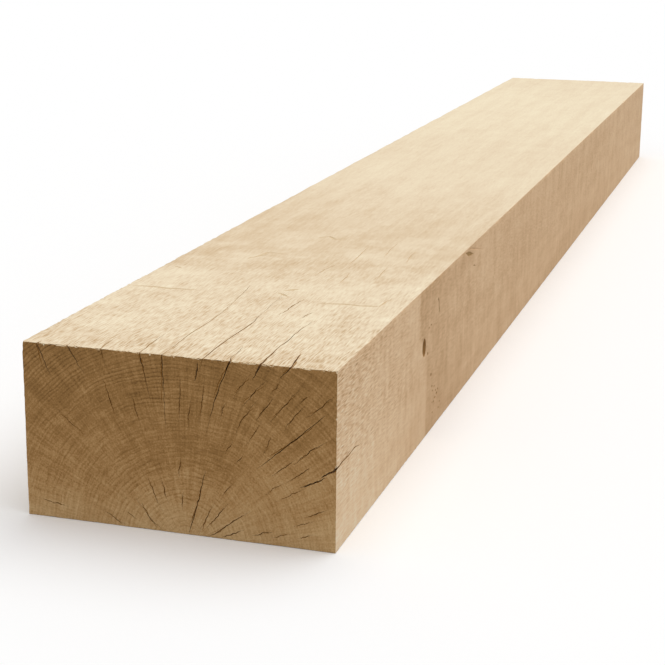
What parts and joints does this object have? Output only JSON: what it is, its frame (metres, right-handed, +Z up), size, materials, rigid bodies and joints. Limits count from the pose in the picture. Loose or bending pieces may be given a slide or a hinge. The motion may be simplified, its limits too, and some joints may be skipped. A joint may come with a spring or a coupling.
{
  "type": "railway sleeper",
  "caption": "Solid rough-sawn oak railway sleeper: a plain rectangular baulk with radial drying checks in its end grain.",
  "frame": {"origin": "centre of the underside, on the floor that the sleeper lies on", "axes": "+Y along the length, away from the end with the knot near it; +X across the width, towards the side face with the knot; +Z up through the thickness"},
  "size_m": [0.25, 2, 0.14],
  "materials": {
    "oak": "rough sawn, untreated"
  },
  "bodies": {
    "root": {"sleeper": "oak"}
  },
  "joints": []
}
